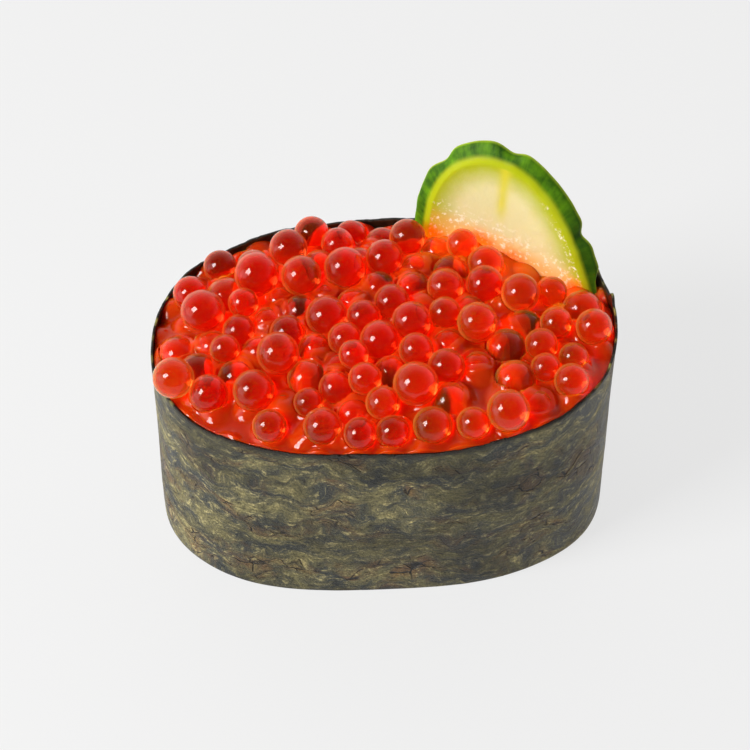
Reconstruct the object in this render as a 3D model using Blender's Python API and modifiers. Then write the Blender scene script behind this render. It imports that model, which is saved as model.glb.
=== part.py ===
"""Salmon roe gunkan roll.

An oval band of nori stands on its lower edge round a block of rice, is heaped with
salmon roe to above its rim, and has a slice of cucumber tucked in at the back right.
Origin: middle of the rice's flat underside. +X runs along the roll, -Y is the front.
All the shape functions work in millimetres, and to_metres() scales a finished mesh.
"""
import math

import bmesh
import bpy
import numpy as np
from mathutils import Matrix, Vector

MM = 0.001
GAP = 0.3                     # left between pieces that touch
FULL_TURN = 2 * math.pi
SHARP_ANGLE = math.radians(50)

# Nori band: outer outline at the base and at the rim, as superellipses
# half length, half width, squareness, turn in radians, shift in x, shift in y
BASE_OVAL = np.array([28.97, 19.56, 2.59, 0.058, -0.13, -0.15])
RIM_OVAL = np.array([29.03, 19.67, 2.33, -0.021, 0.0, 0.0])
RIM_HEIGHT = 27.55            # at the middle
RIM_SLOPE_X = 0.068           # the rim stands higher at the right
RIM_SLOPE_Y = 0.012
RIM_RIPPLE = 0.3
RIPPLE_WAVES = ((7, 0.6), (12, 2.0))  # waves round the rim, and their phases
WALL_SWELL = 0.25             # low waves of the pressed sheet, outwards only
SWELL_WAVES = ((5, 4.0, 0.0), (3, -2.2, 1.0))  # waves round the band, twist up it, phase
NORI_THICK = 0.5
SEAM_ANGLE = 0.55             # where the sheet's inner end starts, at the back right
SEAM_LAP = 0.42               # radians of double layer
SEAM_RAMP = 0.25
SEAM_LIFT = NORI_THICK + GAP + 0.1  # the outer end passes this far outside the inner one
BAND_FOOT = 0.05              # the sheet's lower edge clears the ground by this much
BAND_COLUMNS = 108
BAND_ROWS = 4

# Rice block inside the band
WALL_INSET = NORI_THICK + GAP
RICE_TOP = 18.0
RICE_ROUNDING = 1.2
RICE_FOOT_ROUNDING = 0.6
RICE_SIDES = 44

# Heap of roe
HEAP_EDGE_RISE = 2.8          # top of the eggs over the rim, beside the band
HEAP_CROWN = 3.4              # and how much more in the middle
CORE_DEPTH = 3.6              # the fused core lies this far below the eggs' tops
CORE_SIDES = 36
CORE_FOOT = 1.0               # height and inset of the core's lower edge
CORE_SHOULDER = 0.85          # part of the band's height whose outline the core follows
CORE_CROWN_RINGS = (1.0, 0.86, 0.66, 0.42, 0.18)  # parts of the way out from the middle
EGG_RADIUS = 2.34
EGG_SPREAD = 0.22
EGG_LEAST = 1.9
EGG_MOST = 3.0
FREE_EGGS = 70
HEAP_SHELL = 6.8              # the eggs lie within this depth of the crown
START_INSET = 3.5             # free eggs start this far inside the band's outline
ROE_SEED = 17
SETTLE_STEPS = 500
EGG_PUSH = 0.6                # part of an overlap that one step clears
EGG_TOUCH = 0.955             # eggs press each other flat by this little
LANDMARK_GIVE = 0.001         # how little a landmark egg moves beside a free one
EGG_JUMBLE = 1.4              # free eggs lie under the crown by up to this much
EGG_CROWDED = 0.6             # an egg that stays deeper than this in another is left out
NOT_ITSELF = 1e3              # added to an egg's distance to itself
ROUNDING_DIGITS = 4
EGG_SWELL = 1.04              # the flat-sided balls are this much larger, for a like volume
EGG_SIDES = 10
EGG_BELTS = 5
GOLDEN_TURN = 2.4             # radians from one egg's turn to the next one's
# Eggs that stand out: x, y, lift of the middle above the rim, radius
LANDMARK_EGGS = np.array([
    (-25.7, -8.4, 2.9, 2.6), (26.1, -1.7, 1.2, 2.35), (15.1, -14.9, 1.8, 2.7),
    (4.0, -11.2, 3.0, 2.8), (-12.9, -5.8, 3.5, 2.7), (-22.7, 2.5, 2.4, 2.85),
    (-15.9, 7.8, 3.0, 2.9), (-10.4, 7.4, 3.0, 2.65), (-12.1, 12.5, 2.5, 2.5),
    (-9.2, 16.2, 1.4, 2.3), (-4.2, 16.8, 0.0, 2.1), (3.1, 13.8, 2.4, 2.4),
    (-20.9, 11.9, 0.6, 2.2), (-24.4, 7.2, 0.8, 2.3), (11.6, -2.2, 3.5, 2.6),
    (13.2, 9.4, 1.5, 2.4), (17.1, 3.3, 2.5, 2.5), (21.0, 5.0, 0.6, 2.1),
    (22.9, -10.1, 1.1, 2.2), (-15.9, -10.5, 1.8, 2.65), (-21.4, -9.8, 1.3, 2.5),
    (6.0, -16.0, 0.9, 2.45), (-4.8, 8.2, 3.2, 2.75), (21.4, -1.1, 1.5, 2.1),
    (-13.8, -15.1, 0.9, 2.15), (-7.5, -15.5, 0.9, 2.4), (1.2, -16.6, 0.6, 2.2),
    (10.9, -16.0, 0.9, 2.1),
])

# Slice of cucumber: an oblique round, bent to the band, cut straight below
SLICE_MIDDLE = np.array([15.9, 10.75, 29.2])
SLICE_TURN = math.radians(-26.4)
SLICE_LEAN = math.radians(8.0)
SLICE_BEND = 1.6              # how far the middle stands behind the ends
SLICE_SPAN = 13.0             # half of the bent length
SLICE_THICK = 2.0
SLICE_INSET = 1.9             # the front face is this much smaller than the back
SLICE_ROUNDING = 0.5
# Parts of the rounding behind the front face, and what the edge there is pulled in by:
# a part of the inset and a part of the rounding
SLICE_EDGE = ((0.0, 1.0, 1.0), (0.3, 1.0, 0.3), (1.0, 0.75, 0.0), (2.5, 0.12, 0.0),
              (3.5, 0.0, 0.0), (4.0, 0.0, 0.6))
SLICE_OVAL = (0.3, -5.0, 13.0, 20.8, 2.07, 0.34)  # middle u, v, half sizes, squareness, turn
SLICE_CUT = (0.0, -7.4, 0.2)  # a point of the straight cut and its slope
SLICE_CORNER = 14.0           # higher is a sharper corner between round and cut
SLICE_NICKS = ((2.36, 0.7, 0.10), (1.72, 0.8, 0.09), (0.62, 0.9, 0.10))  # angle, depth, width
SLICE_FREE = 1.6              # over the rim by this much, the slice is free of the band
SLICE_WALL_GAP = 1.5 * GAP    # left to the band below that
SLICE_EASE = 0.7              # the roe's core and eggs stay this far from it, beside the gap
SLICE_END_ROOM = 1.5          # eggs past the slice's ends by this much needn't keep clear
FACE_RINGS = (0.4, 0.75)      # more rings on each face, so that the bend shows there too
ROOM_DEPTH = 9.0              # the slice's room in the core reaches back to past the band
ROOM_MARGIN = 1.2
SLICE_SIDES = 56
OUTLINE_SAMPLES = 720
ALMOST_LEVEL = 1e-6           # a ray this level never meets the straight cut
FAR_OFF = 1e3


def superellipse(angle, half_length, half_width, squareness):
    """x = a sgn(cos) |cos|^(2/n), and y the same with b and sin."""
    c, s = np.cos(angle), np.sin(angle)
    x = half_length * np.sign(c) * np.abs(c) ** (2 / squareness)
    y = half_width * np.sign(s) * np.abs(s) ** (2 / squareness)
    return x, y


def turned(x, y, turn):
    """The points (x, y) turned about the origin."""
    return x * math.cos(turn) - y * math.sin(turn), x * math.sin(turn) + y * math.cos(turn)


def band_outline(angle, height_fraction, inset=0.0):
    """Outline of the band at a height fraction, its half sizes cut by the inset."""
    shape = BASE_OVAL + (RIM_OVAL - BASE_OVAL) * height_fraction
    x, y = superellipse(angle, shape[0] - inset, shape[1] - inset, shape[2])
    x, y = turned(x, y, shape[3])
    return x + shape[4], y + shape[5]


def reach(x, y, inset=0.0):
    """0 at the middle of the rim's oval, 1 on its outline, made smaller by the inset."""
    half_length, half_width, squareness, turn = RIM_OVAL[:4]
    x, y = turned(x, y, -turn)
    return (np.abs(x / (half_length - inset)) ** squareness
            + np.abs(y / (half_width - inset)) ** squareness) ** (1 / squareness)


def rim_height(x, y):
    """Height of the band's rim, without its ripple: a plane that slopes up to the right."""
    return RIM_HEIGHT + RIM_SLOPE_X * x + RIM_SLOPE_Y * y


def heap_top(x, y):
    """Where the tops of the highest eggs lie: a low crown over the rim."""
    return rim_height(x, y) + HEAP_EDGE_RISE + HEAP_CROWN * (1 - np.minimum(reach(x, y), 1.0) ** 2)


def slice_frame():
    """Unit vectors of the slice: along it, up it, and towards its back."""
    along = np.array([math.cos(SLICE_TURN), math.sin(SLICE_TURN), 0.0])
    level_back = np.array([-math.sin(SLICE_TURN), math.cos(SLICE_TURN), 0.0])
    up = math.cos(SLICE_LEAN) * np.array([0.0, 0.0, 1.0]) + math.sin(SLICE_LEAN) * level_back
    back = math.cos(SLICE_LEAN) * level_back - math.sin(SLICE_LEAN) * np.array([0.0, 0.0, 1.0])
    return along, up, back


def bend(u):
    """How far the bent slice stands behind its chord at the distance u along it."""
    return SLICE_BEND * (1 - (u / SLICE_SPAN) ** 2)


def slice_point(u, v, w):
    """The point u along, v up and w behind the slice's bent front face."""
    along, up, back = slice_frame()
    w = w + bend(u)
    return (SLICE_MIDDLE + np.multiply.outer(u, along) + np.multiply.outer(v, up)
            + np.multiply.outer(w, back))


def slice_place(points):
    """Distances u along, v up and w behind the slice's bent front face."""
    along, up, back = slice_frame()
    local = points - SLICE_MIDDLE
    u = local @ along
    return u, local @ up, local @ back - bend(u)


def pressed_into_band(points):
    """The points, moved inside the band's wall where they lie lower than just over its rim."""
    x, y, z = points.T
    low = np.clip((rim_height(x, y) + SLICE_FREE - z) / SLICE_FREE, 0, 1)
    outside = np.maximum(reach(x, y, NORI_THICK + SLICE_WALL_GAP), 1.0)
    squeeze = 1 + (outside - 1) * low
    return np.column_stack([x / squeeze, y / squeeze, z])


def slice_outline(angle, grow=0.0):
    """Rim of the slice about its middle: an oval with nicks, clipped by the straight cut.

    The two distances are joined by r = (r_oval^-p + r_cut^-p)^(-1/p), which rounds the corner.
    """
    middle_u, middle_v, half_u, half_v, squareness, turn = SLICE_OVAL
    samples = np.linspace(0, FULL_TURN, OUTLINE_SAMPLES, endpoint=False)
    u, v = superellipse(samples, half_u + grow, half_v + grow, squareness)
    u, v = turned(u, v, turn)
    u, v = u + middle_u, v + middle_v
    around = np.arctan2(v, u) % FULL_TURN
    order = np.argsort(around)
    oval = np.interp(angle % FULL_TURN, around[order], np.hypot(u, v)[order], period=FULL_TURN)
    for place, depth, width in SLICE_NICKS:
        apart = (angle - place + math.pi) % FULL_TURN - math.pi
        oval = oval - depth * np.exp(-(apart / width) ** 2)
    cut_u, cut_v, slope = SLICE_CUT
    steep = slope * np.cos(angle) - np.sin(angle)
    distance = slope * cut_u - cut_v + grow * math.hypot(1, slope)
    cut = np.where(steep > ALMOST_LEVEL, distance / np.maximum(steep, ALMOST_LEVEL), FAR_OFF)
    return (oval ** -SLICE_CORNER + cut ** -SLICE_CORNER) ** (-1 / SLICE_CORNER)


def settle_roe():
    """Middles and radii of the eggs, packed by pushing overlapping neighbours apart.

    Landmark eggs hardly give way. Every step ends with the limits: the crown above, the depth
    of the heap that shows below, the band around and the slice behind. Places are rounded in
    each step, so that the result is the same on any machine.
    """
    rng = np.random.default_rng(ROE_SEED)
    radius = np.clip(rng.normal(EGG_RADIUS, EGG_SPREAD, FREE_EGGS), EGG_LEAST, EGG_MOST)
    x, y = band_outline(rng.uniform(0, FULL_TURN, FREE_EGGS), 1.0, START_INSET)
    spread = np.sqrt(rng.uniform(0, 1, FREE_EGGS))
    x, y = x * spread, y * spread
    level = rng.uniform(0, 1, FREE_EGGS)
    z = heap_top(x, y) - radius - level * (HEAP_SHELL - 2 * radius)
    marks = LANDMARK_EGGS
    mark_z = rim_height(marks[:, 0], marks[:, 1]) + marks[:, 2]
    middle = np.concatenate([np.column_stack([marks[:, 0], marks[:, 1], mark_z]),
                             np.column_stack([x, y, z])])
    radius = np.concatenate([marks[:, 3], radius])
    lowered = rng.uniform(0, EGG_JUMBLE, FREE_EGGS)
    give = np.concatenate([np.full(len(marks), LANDMARK_GIVE), np.ones(FREE_EGGS)])
    share = give[:, None] / (give[:, None] + give[None, :])
    share[:len(marks), :len(marks)] = 0.0
    touch = (radius[:, None] + radius[None, :]) * EGG_TOUCH
    for _ in range(SETTLE_STEPS):
        apart = middle[:, None, :] - middle[None, :, :]
        distance = np.sqrt((apart ** 2).sum(axis=2)) + np.eye(len(middle)) * NOT_ITSELF
        overlap = np.maximum(touch - distance, 0.0) * share
        middle = middle + EGG_PUSH * (apart * (overlap / distance)[:, :, None]).sum(axis=1)
        middle[len(marks):] = limit_eggs(middle[len(marks):], radius[len(marks):], lowered)
        middle = np.round(middle, ROUNDING_DIGITS)
    kept = not_crowded(middle, radius, len(marks))
    return middle[kept], radius[kept]


def not_crowded(middle, radius, marks):
    """Which eggs stay when the free ones that lie too deep in others are left out, worst first."""
    apart = middle[:, None, :] - middle[None, :, :]
    distance = np.sqrt((apart ** 2).sum(axis=2)) + np.eye(len(middle)) * NOT_ITSELF
    overlap = np.maximum(radius[:, None] + radius[None, :] - distance, 0.0)
    kept = np.ones(len(middle), dtype=bool)
    while True:
        live = overlap * kept[:, None] * kept[None, :]
        crowded = live.max(axis=1) > EGG_CROWDED
        crowded[:marks] = False
        if not crowded.any():
            return kept
        kept[np.where(crowded, (live ** 2).sum(axis=1), 0.0).argmax()] = False


def limit_eggs(middle, radius, lowered):
    """Moves the eggs back inside the band, under the crown and before the slice."""
    x, y, z = middle.T
    rim = rim_height(x, y)
    ceiling = heap_top(x, y) - radius - lowered
    z = np.clip(z, heap_top(x, y) - HEAP_SHELL + radius, ceiling)
    keep = radius + GAP
    over = np.maximum(z - rim, 0.0)
    side = np.sqrt(np.maximum(keep ** 2 - over ** 2, 0.0))
    outside = np.maximum(reach(x, y, NORI_THICK + side), 1.0)
    outside[over >= keep] = 1.0
    middle = np.column_stack([x / outside, y / outside, z])
    u, v, w = slice_place(middle)
    beside = np.abs(u) < SLICE_SPAN + SLICE_END_ROOM
    excess = np.maximum(w + keep + SLICE_EASE / 2, 0.0) * beside
    return middle - np.multiply.outer(excess, slice_frame()[2])


def collection(name):
    made = bpy.data.collections.new(name)
    bpy.context.scene.collection.children.link(made)
    return made


def material(name, colour, roughness):
    """A Principled BSDF with the part's colour and roughness. Nothing here is metal."""
    made = bpy.data.materials.new(name)
    made.use_nodes = True
    shader = made.node_tree.nodes["Principled BSDF"]
    shader.inputs["Base Color"].default_value = (*colour, 1.0)
    shader.inputs["Roughness"].default_value = roughness
    shader.inputs["Metallic"].default_value = 0.0
    made.diffuse_color = (*colour, 1.0)
    return made


def to_metres(mesh):
    mesh.transform(Matrix.Scale(MM, 4))


def add_object(name, mesh, home, look=None):
    """A smooth-shaded object for the mesh, in the collection called home."""
    made = bpy.data.objects.new(name, mesh)
    home.objects.link(made)
    if look:
        mesh.materials.append(look)
    mesh.shade_smooth()
    mesh.set_sharp_from_angle(angle=SHARP_ANGLE)
    return made


def grid_mesh(name, points, closed=False):
    """Quads over a grid of points, rows by columns, joined round the columns if closed."""
    rows, columns = points.shape[:2]
    index = np.arange(rows * columns).reshape(rows, columns)
    right = np.roll(index, -1, axis=1) if closed else index[:, 1:]
    left = index if closed else index[:, :-1]
    quads = np.stack([left[:-1], right[:-1], right[1:], left[1:]], axis=-1).reshape(-1, 4)
    mesh = bpy.data.meshes.new(name)
    mesh.from_pydata(points.reshape(-1, 3).tolist(), [], quads.tolist())
    return mesh


def loft_mesh(name, rings):
    """A closed body through rings of equal length, bottom to top, with a face over each end."""
    points = np.array(rings)
    mesh = grid_mesh(name, points, closed=True)
    body = bmesh.new()
    body.from_mesh(mesh)
    body.verts.ensure_lookup_table()
    sides = points.shape[1]
    body.faces.new([body.verts[i] for i in range(sides)])
    body.faces.new([body.verts[len(body.verts) - sides + i] for i in range(sides)])
    bmesh.ops.recalc_face_normals(body, faces=body.faces)
    bmesh.ops.triangulate(body, faces=body.faces)
    body.to_mesh(mesh)
    body.free()
    return mesh


def round_angles(sides):
    """Angles of so many equal steps once round."""
    return np.linspace(0, FULL_TURN, sides, endpoint=False)


def wall_swell(angle, fraction):
    """Low bulges of the sheet: the product of two waves that wind up the band, 0 at least."""
    wave = 1.0
    for count, twist, phase in SWELL_WAVES:
        wave = wave * np.sin(count * angle + twist * fraction + phase)
    return WALL_SWELL * 0.5 * (1 + wave)


def rim_ripple(angle):
    """Rise and fall of the sheet's upper edge: the mean of two waves round the rim."""
    waves = [np.sin(count * angle + phase) for count, phase in RIPPLE_WAVES]
    return RIM_RIPPLE * sum(waves) / len(waves)


def build_nori(home):
    """The sheet as one strip that passes outside its own start, given its thickness inwards."""
    angle = SEAM_ANGLE + np.linspace(0, FULL_TURN + SEAM_LAP, BAND_COLUMNS)
    into_ramp = np.clip((angle - SEAM_ANGLE - FULL_TURN + SEAM_RAMP) / SEAM_RAMP, 0, 1)
    lift = SEAM_LIFT * into_ramp ** 2 * (3 - 2 * into_ramp)
    rows = []
    for fraction in np.linspace(0, 1, BAND_ROWS + 1):
        x, y = band_outline(angle, fraction, -(lift + wall_swell(angle, fraction)))
        top = rim_height(x, y) + rim_ripple(angle)
        rows.append(np.column_stack([x, y, BAND_FOOT + fraction * (top - BAND_FOOT)]))
    mesh = grid_mesh("nori", np.array(rows))
    to_metres(mesh)
    made = add_object("nori", mesh, home, material("dried_seaweed", (0.082, 0.076, 0.045), 0.55))
    thickness = made.modifiers.new("thickness", "SOLIDIFY")
    thickness.thickness = NORI_THICK * MM
    thickness.offset = -1.0
    thickness.use_even_offset = True


def build_rice(home):
    """Pressed rice: fills the band to RICE_TOP, flat below, its upper edge rounded."""
    angle = round_angles(RICE_SIDES)
    levels = [(0.0, RICE_FOOT_ROUNDING), (RICE_FOOT_ROUNDING, 0.0), (RICE_TOP / 2, 0.0),
              (RICE_TOP - RICE_ROUNDING, 0.0),
              (RICE_TOP - 0.3 * RICE_ROUNDING, 0.4 * RICE_ROUNDING),
              (RICE_TOP, 1.2 * RICE_ROUNDING)]
    rings = []
    for z, pulled in levels:
        x, y = band_outline(angle, z / RIM_HEIGHT, WALL_INSET + pulled)
        rings.append(np.column_stack([x, y, np.full(RICE_SIDES, z)]))
    mesh = loft_mesh("rice", rings)
    to_metres(mesh)
    add_object("rice", mesh, home, material("cooked_rice", (0.80, 0.78, 0.70), 0.45))


def slice_ring(angle, grow, w):
    """The slice's outline, grown or pulled in, at the distance w behind its front face."""
    edge = slice_outline(angle, max(grow, 0.0)) + min(grow, 0.0)
    return slice_point(edge * np.cos(angle), edge * np.sin(angle), np.full(len(angle), w))


def slice_edge_rings(angle):
    """Rings from the front face to the back face: the skin flares out and is rounded over."""
    return [slice_ring(angle, -(inset_part * SLICE_INSET + round_part * SLICE_ROUNDING),
                       depth_part * SLICE_ROUNDING)
            for depth_part, inset_part, round_part in SLICE_EDGE]


def slice_face_ring(edge_ring, part, w):
    """A ring on a face of the slice, at a part of the way from its middle to its edge."""
    u, v, _ = slice_place(edge_ring)
    return slice_point(part * u, part * v, np.full(len(u), w))


def build_cucumber(home):
    """The slice as one loft: out over the front face, round the skin, back over the rear face."""
    edge = slice_edge_rings(round_angles(SLICE_SIDES))
    front = [slice_face_ring(edge[0], part, 0.0) for part in FACE_RINGS]
    back = [slice_face_ring(edge[-1], part, SLICE_THICK) for part in reversed(FACE_RINGS)]
    mesh = loft_mesh("cucumber", [pressed_into_band(ring) for ring in front + edge + back])
    to_metres(mesh)
    add_object("cucumber", mesh, home, material("fresh_cucumber", (0.62, 0.66, 0.22), 0.30))


def core_rings():
    """Rings of the heap's core: flat on the rice, up the band, then over a low crown."""
    angle = round_angles(CORE_SIDES)
    foot = RICE_TOP + GAP
    rings = []
    for z, pulled in ((foot, CORE_FOOT), (foot + CORE_FOOT, 0.0)):
        x, y = band_outline(angle, z / RIM_HEIGHT, WALL_INSET + pulled)
        rings.append(np.column_stack([x, y, np.full(CORE_SIDES, z)]))
    edge_x, edge_y = band_outline(angle, CORE_SHOULDER, WALL_INSET)
    for part in CORE_CROWN_RINGS:
        x, y = edge_x * part, edge_y * part
        rings.append(np.column_stack([x, y, heap_top(x, y) - CORE_DEPTH]))
    return rings


def cut_for_slice(core, cutters):
    """Takes the slice's place, and what lies behind it, out of the core."""
    angle = round_angles(SLICE_SIDES)
    ends = (-GAP - SLICE_EASE, ROOM_DEPTH)
    mesh = loft_mesh("slice_room", [slice_ring(angle, ROOM_MARGIN, w) for w in ends])
    to_metres(mesh)
    room = add_object("slice_room", mesh, cutters)
    room.hide_render = True
    room.display_type = "WIRE"
    cut = core.modifiers.new("slice_room", "BOOLEAN")
    cut.operation = "DIFFERENCE"
    cut.object = room
    apply_modifiers(core)


def apply_modifiers(made):
    """Gives the object its evaluated mesh and drops its modifiers."""
    graph = bpy.context.evaluated_depsgraph_get()
    mesh = bpy.data.meshes.new_from_object(made.evaluated_get(graph))
    old = made.data
    made.modifiers.clear()
    made.data = mesh
    bpy.data.meshes.remove(old)


def egg_mesh(number, middle, radius):
    """A ball turned its own way, a little large so that its flat faces keep the volume."""
    ball = bmesh.new()
    axis = Vector((0.3, 0.5 + 0.1 * (number % 5), 0.8))
    turn = Matrix.Rotation(number * GOLDEN_TURN, 4, axis)
    bmesh.ops.create_uvsphere(ball, u_segments=EGG_SIDES, v_segments=EGG_BELTS,
                              radius=radius * EGG_SWELL * MM,
                              matrix=Matrix.Translation(Vector(middle) * MM) @ turn)
    mesh = bpy.data.meshes.new("egg")
    ball.to_mesh(mesh)
    ball.free()
    return mesh


def build_roe(home, cutters):
    """The core with the eggs fused on by one union."""
    mesh = loft_mesh("roe", core_rings())
    to_metres(mesh)
    core = add_object("roe", mesh, home, material("salmon_egg", (0.78, 0.07, 0.012), 0.12))
    cut_for_slice(core, cutters)
    eggs = collection("eggs")
    for number, (middle, radius) in enumerate(zip(*settle_roe())):
        add_object("egg", egg_mesh(number, middle, radius), eggs)
    union = core.modifiers.new("eggs", "BOOLEAN")
    union.operation = "UNION"
    union.operand_type = "COLLECTION"
    union.collection = eggs
    union.solver = "EXACT"
    apply_modifiers(core)
    for egg in list(eggs.objects):
        bpy.data.objects.remove(egg)
    bpy.data.collections.remove(eggs)


def main():
    for old in list(bpy.data.objects):
        bpy.data.objects.remove(old)
    home = collection("salmon_roe_gunkan_roll")
    cutters = collection("cutters")
    build_nori(home)
    build_rice(home)
    build_cucumber(home)
    build_roe(home, cutters)


main()
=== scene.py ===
"""Salmon roe gunkan roll: the looks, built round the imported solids.

Pieces: the nori sheet with its fibres and ragged rim, the rice with its grains, the clear
salmon eggs with their skins, the wet bed of brine and sunken eggs that they lie in, and the
slice of cucumber. Shape functions work in millimetres, and a finished mesh is in metres.
"""
import math

import bpy
import numpy as np
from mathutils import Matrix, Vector


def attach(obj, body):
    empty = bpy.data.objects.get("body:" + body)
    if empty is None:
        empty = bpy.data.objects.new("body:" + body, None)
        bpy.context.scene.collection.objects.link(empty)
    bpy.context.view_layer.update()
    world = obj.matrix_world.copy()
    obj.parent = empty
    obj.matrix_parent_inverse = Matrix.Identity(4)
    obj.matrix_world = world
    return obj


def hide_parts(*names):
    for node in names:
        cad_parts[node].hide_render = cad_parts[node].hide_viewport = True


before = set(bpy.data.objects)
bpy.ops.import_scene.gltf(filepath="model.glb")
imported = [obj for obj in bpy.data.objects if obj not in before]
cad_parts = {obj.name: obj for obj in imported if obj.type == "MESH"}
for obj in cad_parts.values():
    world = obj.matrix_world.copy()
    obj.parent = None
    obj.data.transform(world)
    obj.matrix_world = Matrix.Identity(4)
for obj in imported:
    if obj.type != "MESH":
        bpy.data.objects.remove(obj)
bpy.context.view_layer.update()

MM = 0.001
GAP = 0.3                                # between neighbouring solids
FULL_TURN = 2 * math.pi
LATTICE = 256                            # cells after which the noise repeats

# The photograph's view
PHOTO_SIDE = 750.0                       # pixels
FOCAL_PIXELS = 2547.6
CAMERA_ELEVATION = math.radians(50.0)
CAMERA_DISTANCE = 330.0
VIEW_TARGET = Vector((0.0, 0.0, 13.0))
TARGET_PIXEL = (383.1, 407.1)
SENSOR_WIDTH = 36.0
CLIP_RANGE = (0.01, 20.0)                # metres
# Light passes through many clear skins, and again from egg to egg
BOUNCES = {"max_bounces": 20, "transmission_bounces": 16, "diffuse_bounces": 6,
           "glossy_bounces": 6}

# Nori band, as in the solids: half length, half width, squareness, turn, shift in x and y
BASE_OVAL = np.array([28.97, 19.56, 2.59, 0.058, -0.13, -0.15])
RIM_OVAL = np.array([29.03, 19.67, 2.33, -0.021, 0.0, 0.0])
RIM_HEIGHT = 27.55
RIM_SLOPE_X = 0.068
RIM_SLOPE_Y = 0.012
RIM_RIPPLE = 0.3
RIPPLE_WAVES = ((7, 0.6), (12, 2.0))
WALL_SWELL = 0.25
SWELL_WAVES = ((5, 4.0, 0.0), (3, -2.2, 1.0))
SOLID_NORI_THICK = 0.5
SEAM_ANGLE = 0.55
SEAM_LAP = 0.42
SEAM_RAMP = 0.25
SEAM_LIFT = SOLID_NORI_THICK + GAP + 0.1
BAND_FOOT = 0.05
MIDDLE_FRACTION = 0.5                    # of the height: the sheet's length is measured there

# Finer nori
SHEET_THICK = 0.3
SHEET_COLUMNS = 560
SHEET_ROWS = 68
CREASE_DEPTH = 0.10                      # soft creases of the damp sheet
CREASE_CELL = (11.0, 5.0)
CREASE_START = (40, 21)                  # shift of the noise in cells, and its seed
FIBRE_DEPTH = 0.05                       # strands of seaweed pressed flat
FIBRE_CELL = (2.6, 0.55)
FIBRE_SETS = ((0.35, 90, 90, 22), (-0.1, 9, 30, 23))   # slant, shifts in cells, seed
RAGGED_RIM = 0.16
RAGGED_CELL = 0.9
RAGGED_SETS = ((1.0, 1.0, 31), (0.5, 2.7, 32))         # part, how many times finer, seed
TORN_FLAP = (0.17, 1.1, 0.035)           # angle, height, half width in radians
DARK_RIM_BAND = (0.975, 0.992)           # parts of the height between which the rim darkens
FRINGE_BAND = (0.965, 1.0)               # and over which the yellow-green fringe of painted backlight comes
FRINGE_X = (24.0, 28.0)                  # the fringe shows at the roll's ends only
FRINGE_CELL = 0.8
FRINGE_PART = (0.45, 0.7)
FRINGE_SEED = 33

# Rice
WALL_INSET = SOLID_NORI_THICK + GAP
RICE_TOP = 18.0
RICE_CELLS = (150, 104)
RICE_INSET = WALL_INSET + 0.35
RICE_EDGE = (1.0, 0.9)                   # parts of the way out over which the grains come
RICE_FOOT = 0.3                          # the underside's edge is lifted by this much
GRAIN_CELL = 3.4
GRAIN_DEPTH = 0.7
GRAIN_PRESSED = 0.25 * GRAIN_DEPTH       # by which the lowest grains are flattened
# Part of the depth, cells for each grain along and across, shift in cells, seed
GRAIN_SETS = ((0.7, 1.0, 1.6, 50, 41), (0.3, 2.1, 2.6, 70, 42))

# Heap of roe, as in the solids
HEAP_EDGE_RISE = 2.8
HEAP_CROWN = 3.4
EGG_RADIUS = 2.34
EGG_SPREAD = 0.22
EGG_LEAST = 1.9
EGG_MOST = 3.0
FREE_EGGS = 70
HEAP_SHELL = 6.8
START_INSET = 3.5
ROE_SEED = 17
SETTLE_STEPS = 500
EGG_PUSH = 0.6
EGG_TOUCH = 0.955
LANDMARK_GIVE = 0.001
EGG_JUMBLE = 1.4
EGG_CROWDED = 0.6
NOT_ITSELF = 1e3
ROUNDING_DIGITS = 4
# Eggs that stand out: x, y, lift of the middle above the rim, radius
LANDMARK_EGGS = np.array([
    (-25.7, -8.4, 2.9, 2.6), (26.1, -1.7, 1.2, 2.35), (15.1, -14.9, 1.8, 2.7),
    (4.0, -11.2, 3.0, 2.8), (-12.9, -5.8, 3.5, 2.7), (-22.7, 2.5, 2.4, 2.85),
    (-15.9, 7.8, 3.0, 2.9), (-10.4, 7.4, 3.0, 2.65), (-12.1, 12.5, 2.5, 2.5),
    (-9.2, 16.2, 1.4, 2.3), (-4.2, 16.8, 0.0, 2.1), (3.1, 13.8, 2.4, 2.4),
    (-20.9, 11.9, 0.6, 2.2), (-24.4, 7.2, 0.8, 2.3), (11.6, -2.2, 3.5, 2.6),
    (13.2, 9.4, 1.5, 2.4), (17.1, 3.3, 2.5, 2.5), (21.0, 5.0, 0.6, 2.1),
    (22.9, -10.1, 1.1, 2.2), (-15.9, -10.5, 1.8, 2.65), (-21.4, -9.8, 1.3, 2.5),
    (6.0, -16.0, 0.9, 2.45), (-4.8, 8.2, 3.2, 2.75), (21.4, -1.1, 1.5, 2.1),
    (-13.8, -15.1, 0.9, 2.15), (-7.5, -15.5, 0.9, 2.4), (1.2, -16.6, 0.6, 2.2),
    (10.9, -16.0, 0.9, 2.1),
])

# Finer eggs
EGG_SEGMENTS = 28
EGG_RINGS = 16
EGG_SQUASH = 0.035                       # the most that one of an egg's half sizes is cut by
EGG_LOOK_SEED = 5
# The amber is partly the eggs' own varied tint and partly painted light: the pale slice and the
# bright ground seen through them.
AMBER_X = (-12.0, 28.0)                  # eggs turn from red to amber over this stretch
AMBER_TURN = 0.5                         # of x plus this part of the way to the front
AMBER_JUMBLE = 0.5                       # and by this much at random
AMBER_NEAR = (8.0, 4.0)                  # distances before the slice over which all turn amber: painted light from the slice seen through them
AMBER_BESIDE = (13.0, 10.0)              # and from its middle along it
AMBER_MARKS = 2                          # landmark eggs, at the band's two ends, painted amber with the bright ground seen through them
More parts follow.
